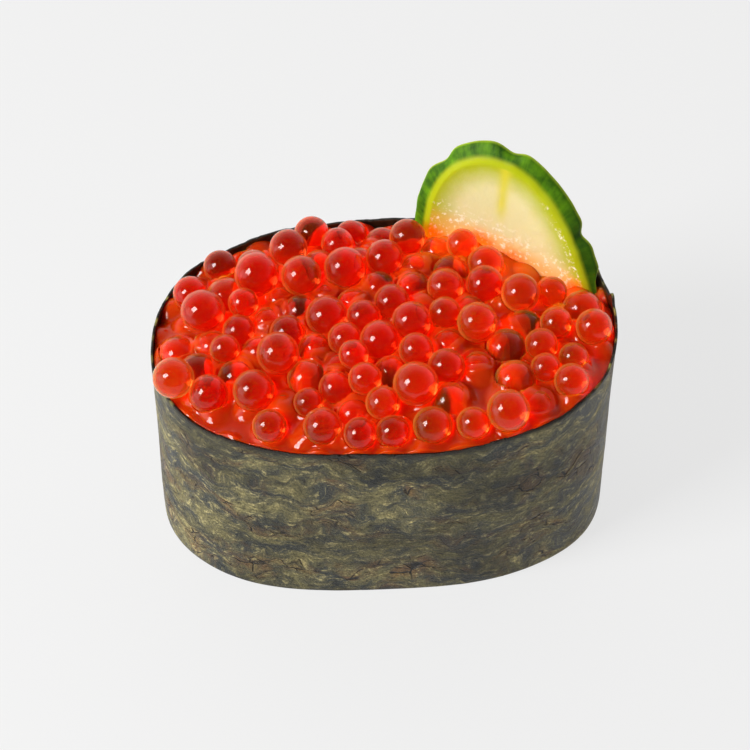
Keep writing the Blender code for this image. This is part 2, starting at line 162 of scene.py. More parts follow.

# Wet bed: brine over the next layer of eggs
BED_DEPTH = 4.1                          # under the tops of the eggs, in the middle
BED_DEPTH_FRONT = 3.0                    # at the front of the band
BED_DEPTH_BACK = 5.0
BED_BACK_Y = (-12.0, 14.0)
BED_EDGE_POWER = 5                       # higher keeps the edge's depths closer to the band
BED_CELLS = (330, 230)
BED_INSET = SHEET_THICK * 0.5 + 0.1
BED_SOLE_FRACTION = 0.66                 # height fraction of the band at the bed's underside
MENISCUS_RISE = 0.8
MENISCUS_LENGTH = 0.4
SOCKET_OVERLAP = 0.03
SOCKET_REACH = 0.2                       # of a radius: a bed this far over an egg has no socket
SUNKEN_STEP = 4.3
SUNKEN_JITTER = 0.6
SUNKEN_RADIUS = 2.3
SUNKEN_DEPTH = 5.7                       # of their middles under the crown
SUNKEN_OUTSET = 1.0                      # and no further than this outside the band's outline
SUNKEN_SHOWN = 0.6                       # of them stand over the brine's level at least
SUNKEN_SEED = 8
SUNKEN_FILM = 0.35                       # brine softens their outline over this height
EGG_PART_DOME = (-1.2, 0.6)              # heights over the brine where their colour comes
DIP_PLACE = (20.5, 7.5)                  # where the brine is lower, beside the slice
DIP_REACH = 4.5
DIP_DEPTH = 2.2

# Slice of cucumber, as in the solids
SLICE_MIDDLE = np.array([15.9, 10.75, 29.2])
SLICE_TURN = math.radians(-26.4)
SLICE_LEAN = math.radians(8.0)
SLICE_BEND = 1.6
SLICE_SPAN = 13.0
SLICE_THICK = 2.0
SLICE_INSET = 1.9
SLICE_ROUNDING = 0.5
SLICE_EDGE = ((0.0, 1.0, 1.0), (0.3, 1.0, 0.3), (1.0, 0.75, 0.0), (2.5, 0.12, 0.0),
              (3.5, 0.0, 0.0), (4.0, 0.0, 0.6))
SLICE_OVAL = (0.3, -5.0, 13.0, 20.8, 2.07, 0.34)
SLICE_CUT = (0.0, -7.4, 0.2)
SLICE_CORNER = 14.0
SLICE_NICKS = ((2.36, 0.7, 0.10), (1.72, 0.8, 0.09), (0.62, 0.9, 0.10))
SLICE_FREE = 1.6
SLICE_WALL_GAP = 1.5 * GAP
SLICE_EASE = 0.7
SLICE_END_ROOM = 1.5
OUTLINE_SAMPLES = 720
ALMOST_LEVEL = 1e-6
FAR_OFF = 1e3

# Finer cucumber
SLICE_COLUMNS = 360
FACE_ROWS = 40
FACE_HOLE = 0.02                         # part of the way out of the first ring on each face
EDGE_ROWS = 22
NICK_DEPTHS = (0.3, 1.6)                 # behind the front face, the nicks deepen over these
SKIN_BUMP = 0.18
SKIN_BUMPS_ROUND = 9
SKIN_BUMP_CELL = 1.7
SKIN_SEED = 51
FLESH_RELIEF = 0.05
FLESH_CELL = 1.6
FLESH_RAYS = 7
FLESH_SEED = 52
SKIN_START = (0.15, 0.6)                 # depths behind the front over which the skin comes
SKIN_END = (1.3, 1.9)                    # and turns to its light outer fringe
STREAK_STRETCH = 2.5                     # streaks run across the skin, this much longer
STRAND_U = -2.3
STRAND_WIDTH = 0.75
STRAND_V = (3.0, 7.5)
STRAND_PART = 0.8
ROE_LINE = (-0.2, -0.19)                 # the roe's line on the slice: v at the middle, slope
SOAKED_REACH = (3.0, 0.2)                # above that line the stain fades out over this height
SOAKED_PART = 0.6
# Painted highlights: white glints of the wet flesh, low down and near the skin
GLINT_REACH = (5.0, 2.0)
GLINT_BAND = (1.6, 0.3)                  # glints also lie this near to the skin
GLINT_BAND_U = (2.0, 5.0)                # on the right side
SHADE_SIDE_U = (4.0, 8.0)                 # painted shade: the skin is darker on that side
SHADE_SIDE_PART = 0.65

# Studio
KEY_DIRECTION = (-0.67, -0.34, 0.67)
KEY_DISTANCE = 0.6
KEY_SIDES = (0.22, 0.26)
KEY_POWER = 4.0
SIDE_DIRECTION = (-0.95, -0.28, 0.2)
SIDE_DISTANCE = 0.7
SIDE_SIDES = (0.5, 0.4)
SIDE_POWER = 1.1
DIM_FROM = 0.75                          # cosines of the angle from the camera's direction
BRIGHT_FROM = -0.3
DIM_LIGHT = 0.06
BRIGHT_LIGHT = 1.1
FLOOR_SIDE = 6.0


def superellipse(angle, half_length, half_width, squareness):
    """x = a sgn(cos) |cos|^(2/n), and y the same with b and sin."""
    c, s = np.cos(angle), np.sin(angle)
    x = half_length * np.sign(c) * np.abs(c) ** (2 / squareness)
    y = half_width * np.sign(s) * np.abs(s) ** (2 / squareness)
    return x, y


def turned(x, y, turn):
    """The points (x, y) turned about the origin."""
    return x * math.cos(turn) - y * math.sin(turn), x * math.sin(turn) + y * math.cos(turn)


def band_outline(angle, height_fraction, inset=0.0):
    """Outline of the band: a turned superellipse between the base's oval and the rim's."""
    part = np.asarray(height_fraction)
    half_length, half_width, squareness, turn, shift_x, shift_y = (
        low + (high - low) * part for low, high in zip(BASE_OVAL, RIM_OVAL))
    x, y = superellipse(angle, half_length - inset, half_width - inset, squareness)
    return (x * np.cos(turn) - y * np.sin(turn) + shift_x,
            x * np.sin(turn) + y * np.cos(turn) + shift_y)


def reach(x, y, inset=0.0):
    """0 at the middle of the rim's oval, 1 on its outline, made smaller by the inset."""
    half_length, half_width, squareness, turn = RIM_OVAL[:4]
    x, y = turned(x, y, -turn)
    return (np.abs(x / (half_length - inset)) ** squareness
            + np.abs(y / (half_width - inset)) ** squareness) ** (1 / squareness)


def rim_height(x, y):
    """Height of the band's rim, without its ripple: a plane that slopes up to the right."""
    return RIM_HEIGHT + RIM_SLOPE_X * x + RIM_SLOPE_Y * y


def heap_top(x, y):
    """Where the tops of the highest eggs lie: a low crown over the rim."""
    return rim_height(x, y) + HEAP_EDGE_RISE + HEAP_CROWN * (1 - np.minimum(reach(x, y), 1.0) ** 2)


def smooth_step(low, high, value):
    """0 below low, 1 above high, and 3t^2 - 2t^3 between."""
    t = np.clip((value - low) / (high - low), 0, 1)
    return t * t * (3 - 2 * t)


def smooth_noise(u, v, seed):
    """Noise from 0 to 1: seeded random values on a lattice of unit cells, blended smoothly."""
    values = np.random.default_rng(seed).uniform(0, 1, (LATTICE, LATTICE))
    column, row = np.floor(u).astype(int), np.floor(v).astype(int)
    s, t = smooth_step(0, 1, u - column), smooth_step(0, 1, v - row)
    corners = [values[(row + j) % LATTICE, (column + i) % LATTICE] for j in (0, 1) for i in (0, 1)]
    return ((corners[0] * (1 - s) + corners[1] * s) * (1 - t)
            + (corners[2] * (1 - s) + corners[3] * s) * t)


def linear(hex_colour):
    """An sRGB hex value as the linear colour that a socket takes."""
    parts = [int(hex_colour[i:i + 2], 16) / 255 for i in (0, 2, 4)]
    return tuple(p / 12.92 if p <= 0.04045 else ((p + 0.055) / 1.055) ** 2.4
                 for p in parts) + (1.0,)


def add(tree, kind, sockets=None, **settings):
    """Adds a node. Its sockets, by name or number, take values or the outputs of other nodes."""
    made = tree.nodes.new("ShaderNode" + kind)
    for name, value in settings.items():
        setattr(made, name, value)
    for name, value in (sockets or {}).items():
        if isinstance(value, bpy.types.NodeSocket):
            tree.links.new(value, made.inputs[name])
        else:
            made.inputs[name].default_value = value
    return made


def mix(tree, part, first, second):
    """A colour between two, each of them an sRGB hex value or a node's output."""
    first, second = (linear(colour) if isinstance(colour, str) else colour
                     for colour in (first, second))
    return add(tree, "Mix", {0: part, 6: first, 7: second}, data_type="RGBA").outputs[2]


def noise(tree, place, size, detail, roughness=0.5, distortion=0.0):
    """Cloudy noise whose patches are about that many millimetres across."""
    return add(tree, "TexNoise", {"Vector": place, "Scale": 1 / (size * MM), "Detail": detail,
                                  "Roughness": roughness, "Distortion": distortion}).outputs["Fac"]


def span(tree, value, low, high, first=0.0, last=1.0):
    """First where the value is at low, last where it is at high, and straight between."""
    return add(tree, "MapRange", {"Value": value, "From Min": low, "From Max": high,
                                  "To Min": first, "To Max": last}).outputs[0]


def calculate(tree, operation, *values):
    """The result of one arithmetic step on these numbers."""
    return add(tree, "Math", dict(enumerate(values)), operation=operation).outputs[0]


def scaled(tree, colour, factor):
    """The colour, that many times as bright."""
    return add(tree, "VectorMath", {0: colour, "Scale": factor}, operation="SCALE").outputs[0]


def painted(tree, name):
    """The number that paint() gave to each point under this name."""
    return add(tree, "Attribute", attribute_name=name).outputs["Fac"]


def bump(tree, height, strength, depth):
    """A normal tilted by fine relief that is this many millimetres deep."""
    return add(tree, "Bump", {"Height": height, "Strength": strength,
                              "Distance": depth * MM}).outputs[0]


def end_look(tree, sockets):
    """Ends a material with one principled shader."""
    shader = add(tree, "BsdfPrincipled", sockets)
    add(tree, "OutputMaterial", {"Surface": shader.outputs[0]})


def new_material(name):
    """A material whose node tree is empty, and that tree."""
    made = bpy.data.materials.new(name)
    made.use_nodes = True
    made.node_tree.nodes.clear()
    return made, made.node_tree


def sheet_quads(rows, columns, closed=False):
    """Corner numbers of the quads of a grid, joined round its columns if closed."""
    index = np.arange(rows * columns).reshape(rows, columns)
    right = np.roll(index, -1, axis=1) if closed else index[:, 1:]
    left = index if closed else index[:, :-1]
    return np.stack([left[:-1], right[:-1], right[1:], left[1:]], axis=-1).reshape(-1, 4)


def make_piece(name, points, faces, look, node=None):
    """A smooth mesh of points in millimetres that rides on the body and may replace a node."""
    mesh = bpy.data.meshes.new(name)
    mesh.from_pydata((np.asarray(points).reshape(-1, 3) * MM).tolist(), [], faces)
    mesh.shade_smooth()
    mesh.materials.append(look)
    made = bpy.data.objects.new(name, mesh)
    bpy.context.scene.collection.objects.link(made)
    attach(made, "root")
    if node:
        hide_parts(node)
    return made


def paint(made, name, values):
    """A number for each point of the mesh, which the material reads by name."""
    layer = made.data.attributes.new(name, "FLOAT", "POINT")
    layer.data.foreach_set("value", np.asarray(values, dtype=np.float32).ravel())


def flat_map(made, name, u, v):
    """A UV map from two numbers for each point, in metres."""
    corners = np.empty(len(made.data.loops), dtype=np.int32)
    made.data.loops.foreach_get("vertex_index", corners)
    layer = made.data.uv_layers.new(name=name)
    layer.data.foreach_set("uv", (np.stack([u.ravel(), v.ravel()], axis=1)[corners] * MM).ravel())


# Nori

def nori_look():
    """Toasted nori: laver shredded, dried as a felt and pressed, now damp from the rice.

    The eye sees slate, olive and brown patches, tan and yellow-green flakes that lie nearly
    level, black cracks a millimetre or two long beside them, and a dull sheen.
    """
    look, tree = new_material("toasted_nori")
    place = add(tree, "UVMap", uv_map="sheet").outputs["UV"]
    wander = add(tree, "TexNoise", {"Vector": place, "Scale": 1 / 0.006, "Detail": 2.0})
    drift = add(tree, "VectorMath", {0: wander.outputs["Color"], 1: (0.0, 0.007, 0.0)},
                operation="MULTIPLY")
    bent = add(tree, "VectorMath", {0: place, 1: drift.outputs[0]}, operation="ADD").outputs[0]
    strands = add(tree, "Mapping", {"Vector": bent, "Scale": (0.55, 1.0, 1.0)}).outputs[0]
    patch = noise(tree, strands, 3.0, 6.0, 0.68)
    brown = noise(tree, strands, 4.8, 5.0, 0.7, 0.4)
    flake = noise(tree, strands, 0.9, 7.0, 0.78, 0.25)
    broad = noise(tree, strands, 8.5, 3.0, 0.6)
    fine = noise(tree, place, 0.3, 3.0, 0.7)
    crack_cells = add(tree, "TexVoronoi", {"Vector": strands, "Scale": 1 / 0.0016,
                                           "Randomness": 1.0}, feature="DISTANCE_TO_EDGE")
    crack_line = span(tree, crack_cells.outputs["Distance"], 0.05, 0.015)
    crack = calculate(tree, "MULTIPLY", crack_line, span(tree, brown, 0.56, 0.62))
    base = mix(tree, span(tree, patch, 0.42, 0.6), "323531", "716a46")
    warmed = mix(tree, span(tree, brown, 0.52, 0.66, 0.0, 0.7), base, "6e4e2a")
    flaked = mix(tree, span(tree, flake, 0.53, 0.68, 0.0, 0.95), warmed, "baac74")
    pit = span(tree, flake, 0.46, 0.34, 0.0, 0.95)
    pitted = mix(tree, calculate(tree, "MAXIMUM", pit, crack), flaked, "141210")
    toned = scaled(tree, pitted, span(tree, fine, 0.3, 0.7, 0.4, 1.6))
    clouded = scaled(tree, toned, span(tree, broad, 0.35, 0.65, 0.5, 1.45))
    rimmed = mix(tree, painted(tree, "rim"), clouded, "1c1710")
    sunk = calculate(tree, "MULTIPLY_ADD", crack, -1.5, flake)
    # The fringe is painted light: yellow-green where light shines through the thin rim.
    end_look(tree, {
        "Base Color": mix(tree, painted(tree, "painted_backlight_fringe"), rimmed, "96904a"),
        "Roughness": span(tree, patch, 0.35, 0.65, 0.3, 0.55), "IOR": 1.5,
        "Normal": bump(tree, calculate(tree, "ADD", sunk, fine), 1.0, 0.22),
        "Specular IOR Level": 0.3})
    return look


def inner_nori_look():
    """The sheet's inner face: nearly black-brown where the brine has soaked it, and shiny."""
    look, tree = new_material("soaked_nori")
    place = add(tree, "UVMap", uv_map="sheet").outputs["UV"]
    cloud = noise(tree, place, 1.2, 5.0, 0.6)
    end_look(tree, {
        "Base Color": mix(tree, span(tree, cloud, 0.35, 0.65), "17100a", "3a2817"),
        "Roughness": 0.3, "Normal": bump(tree, cloud, 0.8, 0.15), "IOR": 1.5})
    return look


def rim_ripple(angle):
    """Rise and fall of the sheet's upper edge: the mean of two waves round the rim."""
    waves = [np.sin(count * angle + phase) for count, phase in RIPPLE_WAVES]
    return RIM_RIPPLE * sum(waves) / len(waves)


def wall_swell(angle, fraction):
    """Low bulges of the sheet: the product of two waves that wind up the band, 0 at least."""
    wave = 1.0
    for count, twist, phase in SWELL_WAVES:
        wave = wave * np.sin(count * angle + twist * fraction + phase)
    return WALL_SWELL * 0.5 * (1 + wave)


def sheet_relief(along, up):
    """Depth of soft creases and of slanting strands under the sheet's highest points."""
    shift, seed = CREASE_START
    crease = smooth_noise(along / CREASE_CELL[0] + shift, up / CREASE_CELL[1] + shift, seed)
    strands = [smooth_noise(along / FIBRE_CELL[0] + shift_along,
                            (up + slant * along) / FIBRE_CELL[1] + shift_up, seed)
               for slant, shift_along, shift_up, seed in FIBRE_SETS]
    return CREASE_DEPTH * crease + FIBRE_DEPTH * sum(strands) / len(strands)


def build_nori():
    """The sheet wound once round and past its own start, with a wall and a ragged rim."""
    angle = SEAM_ANGLE + np.linspace(0, FULL_TURN + SEAM_LAP, SHEET_COLUMNS)
    fraction = np.linspace(0, 1, SHEET_ROWS)
    steps = np.hypot(*np.diff(band_outline(angle, MIDDLE_FRACTION)))
    along = np.concatenate([[0.0], np.cumsum(steps)])
    angle, fraction = np.meshgrid(angle, fraction)
    along = np.broadcast_to(along, angle.shape)
    up = fraction * RIM_HEIGHT
    lap_start = SEAM_ANGLE + FULL_TURN
    lift = SEAM_LIFT * smooth_step(lap_start - SEAM_RAMP, lap_start, angle)
    out = lift + wall_swell(angle, fraction) - sheet_relief(along, up)
    x, y = band_outline(angle, fraction, -out)
    ragged = RAGGED_RIM * sum(
        part * (smooth_noise(along / RAGGED_CELL * finer, along * 0, seed) - 1)
        for part, finer, seed in RAGGED_SETS)
    place, height, width = TORN_FLAP
    apart = (angle - place + math.pi) % FULL_TURN - math.pi
    flap = height * np.exp(-(apart / width) ** 4)
    top = rim_height(x, y) + rim_ripple(angle) + ragged + flap
    z = BAND_FOOT + fraction * (top - BAND_FOOT)
    points = np.stack([x, y, z], axis=-1)
    made = make_piece("nori_sheet", points, sheet_quads(SHEET_ROWS, SHEET_COLUMNS).tolist(),
                      nori_look(), "nori")
    flat_map(made, "sheet", along, up)
    # Painted light: a yellow-green fringe where light shines through the thin torn rim at the
    # roll's ends.
    torn = smooth_noise(along / FRINGE_CELL, up / FRINGE_CELL, FRINGE_SEED)
    at_end = smooth_step(*FRINGE_X, np.abs(x))
    paint(made, "painted_backlight_fringe", smooth_step(*FRINGE_BAND, fraction) * smooth_step(*FRINGE_PART, torn)
          * at_end)
    paint(made, "rim", smooth_step(*DARK_RIM_BAND, fraction))
    made.data.materials.append(inner_nori_look())
    wall = made.modifiers.new("thickness", "SOLIDIFY")
    wall.material_offset = 1
    wall.thickness = SHEET_THICK * MM
    wall.offset = -1.0
    wall.use_even_offset = True


# Rice

def rice_look():
    """Cooked short-grain rice: moist translucent starch, off-white with a soft shine."""
    look, tree = new_material("cooked_rice_grains")
    cloud = noise(tree, add(tree, "TexCoord").outputs["Object"], 1.6, 3.0)
    end_look(tree, {
        "Base Color": mix(tree, cloud, "e2ddcd", "f6f3ea"), "Roughness": 0.38,
        "Normal": bump(tree, cloud, 0.3, 0.1), "IOR": 1.43, "Subsurface Weight": 0.6,
        "Subsurface Radius": (1.0, 0.9, 0.75), "Subsurface Scale": 0.0012})
    return look


def oval_grid(columns, rows, height_fraction, inset):
    """Points over the band's oval: a square grid bent to a disc, and the disc to the oval.

    The disc's x is s sqrt(1 - t^2 / 2) and its y is t sqrt(1 - s^2 / 2).
    """
    s, t = np.meshgrid(np.linspace(-1, 1, columns), np.linspace(-1, 1, rows))
    disc_x, disc_y = s * np.sqrt(1 - t * t / 2), t * np.sqrt(1 - s * s / 2)
    from_middle = np.hypot(disc_x, disc_y)
    angle = np.arctan2(disc_y, disc_x)
    half_length, half_width, squareness = RIM_OVAL[:3]
    flat = superellipse_at(angle, half_length - inset, half_width - inset, squareness)
    x, y = flat[0] * from_middle, flat[1] * from_middle
    return turned(x, y, BASE_OVAL[3] + (RIM_OVAL[3] - BASE_OVAL[3]) * height_fraction)


def superellipse_at(angle, half_length, half_width, squareness):
    """The superellipse's point that a ray at this angle, squeezed with it, would meet."""
    c, s = np.cos(angle), np.sin(angle)
    size = (np.abs(c) ** squareness + np.abs(s) ** squareness) ** (-1 / squareness)
    return half_length * c * size, half_width * s * size


def grid_edge(rows, columns):
    """The numbers of a grid's outer points, once round."""
    index = np.arange(rows * columns).reshape(rows, columns)
    return np.concatenate([index[0, :-1], index[:-1, -1], index[-1, :0:-1], index[:0:-1, 0]])


def slab_faces(rows, columns):
    """Quads of an upper grid, a lower grid turned over, and the wall between their edges."""
    upper = sheet_quads(rows, columns)
    lower = upper[:, ::-1] + rows * columns
    edge = grid_edge(rows, columns)
    after = np.roll(edge, -1)
    wall = np.stack([edge, edge + rows * columns, after + rows * columns, after], axis=-1)
    return np.concatenate([upper, lower, wall]).tolist()


def build_rice():
    """A pressed block whose upper and lower faces show the grains as bumps."""
    columns, rows = RICE_CELLS
    x, y = oval_grid(columns, rows, 0.0, RICE_INSET)
    bumps = GRAIN_DEPTH * sum(
        part * smooth_noise(x / GRAIN_CELL * along + shift, y / GRAIN_CELL * across + shift, seed)
        for part, along, across, shift, seed in GRAIN_SETS)
    edge = smooth_step(*RICE_EDGE, reach(x, y, RICE_INSET))
    upper = np.stack([x, y, RICE_TOP - bumps * edge], axis=-1)
    floor_bumps = np.maximum(bumps - GRAIN_PRESSED, 0.0)
    lower = np.stack([x, y, floor_bumps + RICE_FOOT * (1 - edge)], axis=-1)
    make_piece("rice_block", np.concatenate([upper, lower]), slab_faces(rows, columns),
               rice_look(), "rice")


# Roe

def slice_frame():
    """Unit vectors of the slice: along it, up it, and towards its back."""
    along = np.array([math.cos(SLICE_TURN), math.sin(SLICE_TURN), 0.0])
    level_back = np.array([-math.sin(SLICE_TURN), math.cos(SLICE_TURN), 0.0])
    up = math.cos(SLICE_LEAN) * np.array([0.0, 0.0, 1.0]) + math.sin(SLICE_LEAN) * level_back
    back = math.cos(SLICE_LEAN) * level_back - math.sin(SLICE_LEAN) * np.array([0.0, 0.0, 1.0])
    return along, up, back


def bend(u):
    """How far the bent slice stands behind its chord at the distance u along it."""
    return SLICE_BEND * (1 - (u / SLICE_SPAN) ** 2)


def slice_point(u, v, w):
    """The point u along, v up and w behind the slice's bent front face."""
    along, up, back = slice_frame()
    w = w + bend(u)
    return (SLICE_MIDDLE + np.multiply.outer(u, along) + np.multiply.outer(v, up)
            + np.multiply.outer(w, back))


def slice_place(points):
    """Distances u along, v up and w behind the slice's bent front face."""
    along, up, back = slice_frame()
    local = points - SLICE_MIDDLE
    u = local @ along
    return u, local @ up, local @ back - bend(u)


def limit_eggs(middle, radius, lowered):
    """Moves the eggs back inside the band, under the crown and before the slice."""
    x, y, z = middle.T
    rim = rim_height(x, y)
    ceiling = heap_top(x, y) - radius - lowered
    z = np.clip(z, heap_top(x, y) - HEAP_SHELL + radius, ceiling)
    keep = radius + GAP
    over = np.maximum(z - rim, 0.0)
    side = np.sqrt(np.maximum(keep ** 2 - over ** 2, 0.0))
    outside = np.maximum(reach(x, y, SOLID_NORI_THICK + side), 1.0)
    outside[over >= keep] = 1.0
    middle = np.column_stack([x / outside, y / outside, z])
    u, v, w = slice_place(middle)
    beside = np.abs(u) < SLICE_SPAN + SLICE_END_ROOM
    excess = np.maximum(w + keep + SLICE_EASE / 2, 0.0) * beside
    return middle - np.multiply.outer(excess, slice_frame()[2])


def settle_roe():
    """Middles and radii of the eggs, packed by pushing overlapping neighbours apart.

    Landmark eggs hardly give way. Every step ends with the limits, and places are rounded in
    each step, so that the result is the same on any machine.
    """
    rng = np.random.default_rng(ROE_SEED)
    radius = np.clip(rng.normal(EGG_RADIUS, EGG_SPREAD, FREE_EGGS), EGG_LEAST, EGG_MOST)
    x, y = band_outline(rng.uniform(0, FULL_TURN, FREE_EGGS), 1.0, START_INSET)
    spread = np.sqrt(rng.uniform(0, 1, FREE_EGGS))
    x, y = x * spread, y * spread
    level = rng.uniform(0, 1, FREE_EGGS)
    z = heap_top(x, y) - radius - level * (HEAP_SHELL - 2 * radius)
    marks = LANDMARK_EGGS
    mark_z = rim_height(marks[:, 0], marks[:, 1]) + marks[:, 2]
    middle = np.concatenate([np.column_stack([marks[:, 0], marks[:, 1], mark_z]),
                             np.column_stack([x, y, z])])
    radius = np.concatenate([marks[:, 3], radius])
    lowered = rng.uniform(0, EGG_JUMBLE, FREE_EGGS)
    give = np.concatenate([np.full(len(marks), LANDMARK_GIVE), np.ones(FREE_EGGS)])
    share = give[:, None] / (give[:, None] + give[None, :])
    share[:len(marks), :len(marks)] = 0.0
    touch = (radius[:, None] + radius[None, :]) * EGG_TOUCH
    for _ in range(SETTLE_STEPS):
        apart = middle[:, None, :] - middle[None, :, :]
        distance = np.sqrt((apart ** 2).sum(axis=2)) + np.eye(len(middle)) * NOT_ITSELF
        overlap = np.maximum(touch - distance, 0.0) * share
        middle = middle + EGG_PUSH * (apart * (overlap / distance)[:, :, None]).sum(axis=1)
        middle[len(marks):] = limit_eggs(middle[len(marks):], radius[len(marks):], lowered)
        middle = np.round(middle, ROUNDING_DIGITS)
    kept = not_crowded(middle, radius, len(marks))
    return middle[kept], radius[kept]


def not_crowded(middle, radius, marks):
    """Which eggs stay when the free ones that lie too deep in others are left out, worst first."""
    apart = middle[:, None, :] - middle[None, :, :]
    distance = np.sqrt((apart ** 2).sum(axis=2)) + np.eye(len(middle)) * NOT_ITSELF
    overlap = np.maximum(radius[:, None] + radius[None, :] - distance, 0.0)
    kept = np.ones(len(middle), dtype=bool)
    while True:
        live = overlap * kept[:, None] * kept[None, :]
        crowded = live.max(axis=1) > EGG_CROWDED
        crowded[:marks] = False
        if not crowded.any():
            return kept
        kept[np.where(crowded, (live ** 2).sum(axis=1), 0.0).argmax()] = False


def sunken_eggs():
    """Middles of the next layer's eggs: a jittered grid of staggered rows.

    They lie a step under the crown, or so that their tops just show where the brine is high.
    """
    rng = np.random.default_rng(SUNKEN_SEED)
    columns = np.arange(-RIM_OVAL[0], RIM_OVAL[0], SUNKEN_STEP)
    rows = np.arange(-RIM_OVAL[1], RIM_OVAL[1], SUNKEN_STEP * math.sqrt(0.75))
    x, y = np.meshgrid(columns, rows)
    x = x + (np.arange(len(rows)) % 2)[:, None] * SUNKEN_STEP / 2
    x = (x + rng.uniform(-SUNKEN_JITTER, SUNKEN_JITTER, x.shape)).ravel()
    y = (y + rng.uniform(-SUNKEN_JITTER, SUNKEN_JITTER, y.shape)).ravel()
    inside = reach(x, y, -SUNKEN_OUTSET) < 1.0
    x, y = x[inside], y[inside]
    least = bed_level(x, y) + SUNKEN_SHOWN - SUNKEN_RADIUS
    return np.column_stack([x, y, np.maximum(heap_top(x, y) - SUNKEN_DEPTH - dip(x, y), least)])


def unit_ball(segments, rings):
    """Points of a ball of radius 1 between two poles, with its triangles and quads."""
    polar = np.linspace(0, math.pi, rings + 1)[1:-1]
    turn = np.arange(segments) / segments * FULL_TURN
    polar, turn = np.meshgrid(polar, turn, indexing="ij")
    belt = np.stack([np.sin(polar) * np.cos(turn), np.sin(polar) * np.sin(turn),
                     np.cos(polar)], axis=-1)
    points = np.concatenate([belt.reshape(-1, 3), [(0, 0, 1), (0, 0, -1)]])
    top, bottom = len(points) - 2, len(points) - 1
    quads = sheet_quads(rings - 1, segments, closed=True)[:, ::-1]
    first = np.arange(segments)
    after = np.roll(first, -1)
    last = (rings - 2) * segments
    triangles = np.concatenate([
        np.stack([np.full(segments, top), first, after], axis=1),
        np.stack([np.full(segments, bottom), last + after, last + first], axis=1)])
    return points, triangles, quads


def ball_faces(triangles, quads, count, points_each):
    """The faces of so many balls, whose points follow one another."""
    offset = (np.arange(count) * points_each)[:, None, None]
    return ((triangles[None] + offset).reshape(-1, 3).tolist()
            + (quads[None] + offset).reshape(-1, 4).tolist())


def many_balls(name, middles, sizes, look, segments, rings):
    """One piece of balls or ellipsoids: each point is middle + size times the unit ball's."""
    unit, triangles, quads = unit_ball(segments, rings)
    points = middles[:, None, :] + sizes[:, None, :] * unit[None, :, :]
    faces = ball_faces(triangles, quads, len(middles), len(unit))
    return make_piece(name, points, faces, look)


def egg_look():
    """Salmon egg: a tight clear skin round red-orange oil and water, wet with brine.

    The eye sees a clear ball, deep red through its middle and amber at its edge. The amber
    edge is painted light, for light that the ball bends and gathers at its rim. Lamps shine
    through it onto what lies under it.
    """
    look, tree = new_material("wet_salmon_egg")
    facing = add(tree, "LayerWeight", {"Blend": 0.5}).outputs["Facing"]
    amber_and_glow = painted(tree, "amber_and_glow")
    # The amber mask is partly the egg's own tint and partly painted light from the slice and the
    # bright ground seen through it.
    middle = mix(tree, amber_and_glow, "e25a1e", "ee8620")
    # Painted light: the lighter amber edge stands in for light gathered in the ball's rim.
    edge = mix(tree, amber_and_glow, "ff9450", "ffb256")
    shader = add(tree, "BsdfPrincipled", {
        "Base Color": mix(tree, facing, middle, edge), "Roughness": 0.02, "IOR": 1.37,
        "Transmission Weight": span(tree, facing, 0.35, 0.95, 0.92, 0.5),
        "Specular IOR Level": 0.7, "Subsurface Weight": 1.0,
        "Subsurface Radius": (1.0, 0.3, 0.1), "Subsurface Scale": 0.0025})
    lamp_ray = add(tree, "LightPath").outputs["Is Shadow Ray"]
    through = add(tree, "BsdfTransparent", {"Color": linear("ffbc84")})
    surface = add(tree, "MixShader", {0: lamp_ray, 1: shader.outputs[0], 2: through.outputs[0]})
    depth = add(tree, "VolumeAbsorption", {"Color": linear("f2560c"), "Density": 110.0})
    add(tree, "OutputMaterial", {"Surface": surface.outputs[0], "Volume": depth.outputs[0]})
    return look


def bed_look():
    """Brine over the next eggs: a wet clear jelly, saturated red-orange, very glossy.

    The eye sees the sunken eggs as lighter orange rounds, with deep red between them, which is
    partly the deeper brine's own colour and partly painted shade in the gaps. All of it turns
    amber close before the slice, painted light from the slice seen through the brine.
    """
    look, tree = new_material("brine_bed")
    cloud = noise(tree, add(tree, "TexCoord").outputs["Object"], 6.0, 2.0)
    rounds = mix(tree, span(tree, cloud, 0.35, 0.65), "be2e05", "d24608")
    # Painted shade: the deeper red between the sunken eggs' domes, partly the deeper brine's own
    # colour.
    red = mix(tree, painted(tree, "egg_part"), "b82804", rounds)
    # Painted light: the brine turns amber before the slice, which is seen through it.
    end_look(tree, {
        "Base Color": mix(tree, painted(tree, "amber_and_glow"), red, "e07012"), "Roughness": 0.03,
        "IOR": 1.36, "Subsurface Weight": 1.0, "Subsurface Radius": (1.0, 0.3, 0.08),
        "Subsurface Scale": 0.003})
    return look


def dip(x, y):
    """How much lower the brine and what lies in it are beside the slice's right end."""
    away = (x - DIP_PLACE[0]) ** 2 + (y - DIP_PLACE[1]) ** 2
    return DIP_DEPTH * np.exp(-away / DIP_REACH ** 2)


def bed_level(x, y):
    """The brine's level: up to the rim at the front of the band, and lower at its back."""
    back = smooth_step(*BED_BACK_Y, y)
    at_edge = BED_DEPTH_FRONT + (BED_DEPTH_BACK - BED_DEPTH_FRONT) * back
    edge = np.minimum(reach(x, y), 1.0) ** BED_EDGE_POWER
    return heap_top(x, y) - BED_DEPTH - (at_edge - BED_DEPTH) * edge - dip(x, y)


def sunken_height(x, y, level):
    """Height of the brine over the sunken eggs, and how far their tops stand over the level.

    A dome d over the level lifts the brine by (d + sqrt(d^2 + film^2)) / 2, which is smooth.
    """
    dome = np.full_like(level, -SUNKEN_RADIUS)
    for egg_x, egg_y, egg_z in sunken_eggs():
        near = (x - egg_x) ** 2 + (y - egg_y) ** 2
        top = egg_z + np.sqrt(np.maximum(SUNKEN_RADIUS ** 2 - near, 0.0)) - level
        dome = np.where(near < SUNKEN_RADIUS ** 2, np.maximum(dome, top), dome)
    return level + (dome + np.sqrt(dome ** 2 + SUNKEN_FILM ** 2)) / 2, dome


